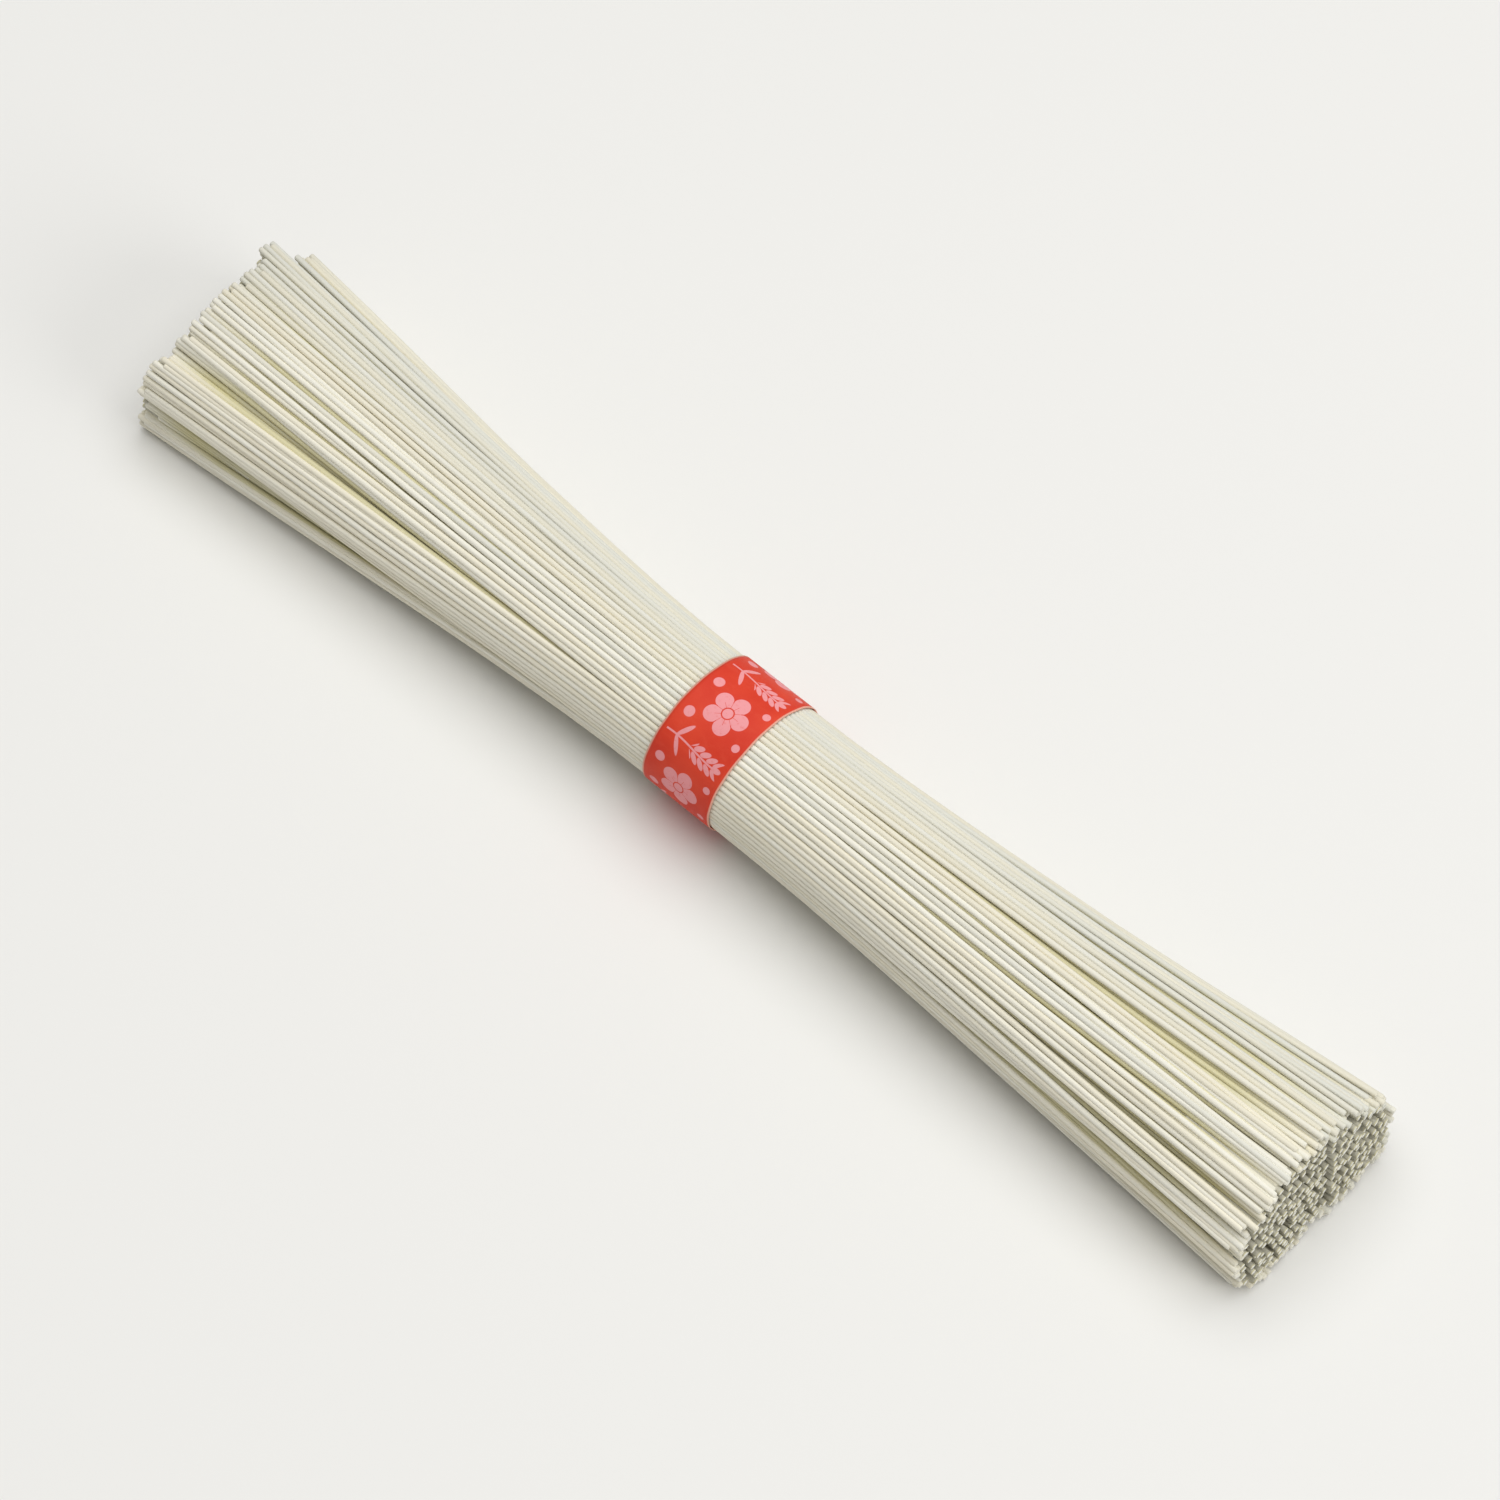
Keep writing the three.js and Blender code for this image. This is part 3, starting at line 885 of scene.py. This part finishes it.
def paper_finish(kit):
    """Red printed paper with a pale pattern of blossoms and ears of wheat, and pale cut edges.
    The pattern is drawn in mm on the flat paper: u runs round the bundle and v along it."""
    f = Finish("printed_paper")
    u, v = f.split(f.node("ShaderNodeUVMap", {}, uv_map="Paper"))
    spot = f.place()
    repeat = kit.print_repeat

    def cell(shift):
        return f.maths("FLOORED_MODULO", u + shift, repeat) - repeat / 2

    def inside(distance, soft=0.09):
        """1 where a signed distance is below 0."""
        return 1 - f.smooth(distance, -soft / 2, soft / 2)

    def ellipse(a, b, wide, tall):
        return ((a / wide) ** 2 + (b / tall) ** 2) ** 0.5 - 1

    def both(one, other):
        return f.maths("MAXIMUM", one, other)

    # A blossom of five petals round an open middle, with stamens and veins, and buds beside it.
    a, b = cell(0.0), v - 0.35
    r = (a * a + b * b) ** 0.5
    turn = f.maths("ARCTAN2", a, b)
    lobes = abs(f.maths("COSINE", turn * 2.5))
    petals = inside(r - (1.7 + 1.45 * lobes**0.6))
    gaps = inside(abs(r - 0.8) - 0.09)
    rays = abs(f.maths("SINE", turn * 5.0)) * r
    stamens = inside(rays - 0.12) * (r > 0.8) * (r < 1.7)
    veins = inside(lobes * r - 0.14) * (r > 1.7)
    blossom = petals * (1 - both(both(gaps, stamens), veins))
    buds = both(
        inside(ellipse(abs(a) - 2.75, v + 3.7, 0.75, 0.75), 0.15),
        inside(ellipse(abs(a) - 2.9, v - 4.3, 0.55, 0.55), 0.15),
    )

    # An ear of wheat along the noodles, with its stalk and two leaves.
    bent = cell(repeat / 2) - f.maths("SINE", v * 0.45) * 0.35
    side = abs(bent)
    stalk = inside(side - 0.13) * (v > -4.8) * (v < 3.4)
    lifted = v - side * 0.8
    row = f.maths("FLOORED_MODULO", lifted + 20.15, 1.15) - 0.575
    grains = inside(ellipse(side - 0.74, row, 0.58, 0.52), 0.2) * (lifted > -0.9) * (lifted < 3.6)
    tip = inside(ellipse(bent, v - 4.0, 0.42, 0.75), 0.2)
    leaf_run = v + 3.1 - side * 0.55
    leaves = inside(ellipse(side - 1.15, leaf_run, 1.25, 0.36), 0.2)
    wheat = both(both(stalk, grains), both(tip, leaves))

    # The ink is worn by the paper's grain, and the cut edges are pale.
    pattern = both(both(blossom, buds), wheat)
    press = f.noise(spot, 2400.0, 3.0, 0.6)
    pattern = pattern * (1 - f.smooth(press, 0.52, 0.8) * 0.35)
    fibre = f.noise(f.mapped(spot, (500, 900, 900)), 1.0, 4.0, 0.65)
    blotch = f.noise(spot, 160.0, 2.0, 0.5)
    red = f.mix(f.smooth(blotch, 0.3, 0.7), kit.paper_red, kit.paper_deep)
    red = f.mix(f.smooth(fibre, 0.45, 0.8) * 0.25, red, kit.paper_light)
    colour = f.mix(pattern * 0.9, red, kit.print_pink)
    edge = f.smooth(abs(v), BAND_EDGE - 0.3, BAND_EDGE - 0.12)
    colour = f.mix(edge * 0.85, colour, kit.paper_edge)
    rough = 0.42 + fibre * 0.2 + pattern * 0.08
    bump = (fibre + pattern * 0.15, 0.25, 0.00004)
    return f.done(colour, rough, bump, **{"Specular IOR Level": 0.12})


# ---- Stage ---------------------------------------------------------------------------------

TABLE_HALF_M = 6
CAMERA_PLACE = Vector((226.8, -324.6, 693.1)) * MM
CAMERA_UP = Vector((-0.6147, 0.6639, 0.4258))
CAMERA_AIM_M = Vector((0, 0, 0.008))


class SOMEN_OT_stage(Operator):
    """Adds the table, the soft light and the camera"""

    bl_idname = "somen.stage"
    bl_label = "Stage"

    def execute(self, context):
        kit = context.scene.somen_kit
        context.scene.view_settings.view_transform = "Standard"
        shape = bmesh.new()
        bmesh.ops.create_grid(shape, x_segments=1, y_segments=1, size=TABLE_HALF_M)
        table = add_piece("table", mesh_of(shape, "table"))
        table.data.materials.append(Finish("table").done((*kit.table_colour, 1), 0.8))

        world = bpy.data.worlds.new("studio")
        context.scene.world = world
        world.use_nodes = True
        sky = world.node_tree.nodes["Background"]
        sky.inputs["Color"].default_value = (1, 1, 1, 1)
        sky.inputs["Strength"].default_value = kit.sky

        def lamp(name, place, size, power):
            """A round lamp that shines at the bundle, with its place and size in metres."""
            light = bpy.data.lights.new(name, "AREA")
            light.shape = "DISK"
            light.size = size
            light.energy = power
            light.color = (1, 1, 1)
            holder = add_piece(name, light)
            holder.location = place
            holder.rotation_euler = (-Vector(place)).to_track_quat("-Z", "Y").to_euler()

        lamp("key", (-0.05, 0.14, 1.3), 1.7, kit.key)
        lamp("side", (1.2, 0.15, 0.7), 0.9, kit.side)

        camera = add_piece("camera", bpy.data.cameras.new("camera"))
        forward = (CAMERA_AIM_M - CAMERA_PLACE).normalized()
        right = forward.cross(CAMERA_UP).normalized()
        up = right.cross(forward)
        turn = Matrix((right, up, -forward)).transposed()
        camera.matrix_world = Matrix.Translation(CAMERA_PLACE) @ turn.to_4x4()
        camera.data.sensor_width = 36
        camera.data.lens = kit.lens
        camera.data.clip_start = 0.01
        context.scene.camera = camera
        return {"FINISHED"}


# ---- Settings and panel --------------------------------------------------------------------


def colour_setting(name, description, default):
    """A colour in the panel."""
    return FloatVectorProperty(
        name=name, description=description, default=default, subtype="COLOR", min=0, max=1
    )


class SomenKit(PropertyGroup):
    """Sizes in millimetres, light and colours of the bundle"""

    noodle_width: FloatProperty(
        name="Noodle Width", description="Thickness of one noodle, in mm", default=0.87, min=0.3
    )
    ragged: FloatProperty(
        name="Ragged", description="The most a noodle falls short by chance, in mm", default=1.8
    )
    wander: FloatProperty(
        name="Wander", description="How far noodles stray from straight, in mm", default=0.1
    )
    inner_spacing: FloatProperty(
        name="Inner Spacing", description="Between the ends inside the fans, in mm", default=1.24
    )
    core_short: FloatProperty(
        name="Core Short", description="How far inside the tips the core ends, in mm", default=14
    )
    sides: IntProperty(
        name="Sides", description="Sides of an outer noodle", default=9, min=5
    )
    inner_sides: IntProperty(
        name="Inner Sides", description="Sides of a noodle inside", default=8, min=5
    )
    paper: FloatProperty(
        name="Paper", description="Thickness of the paper, in mm", default=0.13, min=0.05
    )
    print_repeat: FloatProperty(
        name="Print Repeat", description="Length of one repeat of the print, in mm", default=12.9
    )
    dough_pale: colour_setting("Pale Dough", "Most noodles", (0.835, 0.81, 0.705))
    # The cool dough is partly painted shade on the far side of the fans.
    dough_cool_and_far_shade: colour_setting("Cool Dough", "The greyest noodles", (0.685, 0.68, 0.605))
    dough_warm: colour_setting("Warm Dough", "The warmest noodles", (0.79, 0.73, 0.56))
    dough_grain: colour_setting("Grain", "Streaks in the dough", (0.72, 0.67, 0.52))
    # Painted shade in the furrows and on the noodles underneath.
    dough_deep_shade: colour_setting("Deep Dough", "Noodles inside the bundle", (0.62, 0.575, 0.335))
    dough_flour: colour_setting("Flour", "Flour and cut ends", (0.86, 0.85, 0.79))
    # Painted shade, far inside the bundle and on the core.
    dough_shade: colour_setting("Shade", "Far inside the bundle", (0.53, 0.51, 0.42))
    paper_red: colour_setting("Paper Red", "The band's red", (0.73, 0.065, 0.03))
    paper_deep: colour_setting("Deep Red", "Its darker blotches", (0.65, 0.045, 0.022))
    paper_light: colour_setting("Light Red", "Its fibres", (0.79, 0.11, 0.06))
    paper_edge: colour_setting("Cut Edge", "The unprinted edges", (0.86, 0.5, 0.38))
    print_pink: colour_setting("Print Pink", "The printed pattern", (0.86, 0.36, 0.38))
    table_colour: colour_setting("Table", "The table top", (0.8, 0.793, 0.764))
    sky: FloatProperty(name="Sky", description="Strength of the light all round", default=0.25)
    key: FloatProperty(
        name="Key", description="Power of the large soft light overhead", default=17.0,
        unit="POWER",
    )
    side: FloatProperty(
        name="Side", description="Power of the light beyond the right-hand tips", default=5.6,
        unit="POWER",
    )
    lens: FloatProperty(
        name="Lens", description="Focal length of the camera", default=146, unit="CAMERA"
    )


class SOMEN_PT_kit(Panel):
    """A button for each step, and the settings"""

    bl_idname = "SOMEN_PT_kit"
    bl_label = "Somen Bundle"
    bl_space_type = "VIEW_3D"
    bl_region_type = "UI"
    bl_category = "Somen"

    def draw(self, context):
        layout = self.layout
        kit = context.scene.somen_kit
        for step in STEPS:
            layout.operator(step.bl_idname)
        for key in kit.bl_rna.properties.keys():
            if key not in ("rna_type", "name"):
                layout.prop(kit, key)


STEPS = (
    SOMEN_OT_noodles,
    SOMEN_OT_inner_ends,
    SOMEN_OT_core,
    SOMEN_OT_band,
    SOMEN_OT_stage,
)
CLASSES = (SomenKit, *STEPS, SOMEN_PT_kit)


def register():
    for each in CLASSES:
        bpy.utils.register_class(each)
    bpy.types.Scene.somen_kit = PointerProperty(type=SomenKit)


def unregister():
    del bpy.types.Scene.somen_kit
    for each in reversed(CLASSES):
        bpy.utils.unregister_class(each)


def main():
    register()
    bpy.ops.somen.noodles()
    bpy.ops.somen.inner_ends()
    bpy.ops.somen.core()
    bpy.ops.somen.band()
    bpy.ops.somen.stage()
    bpy.context.view_layer.update()


if __name__ == "__main__":
    main()
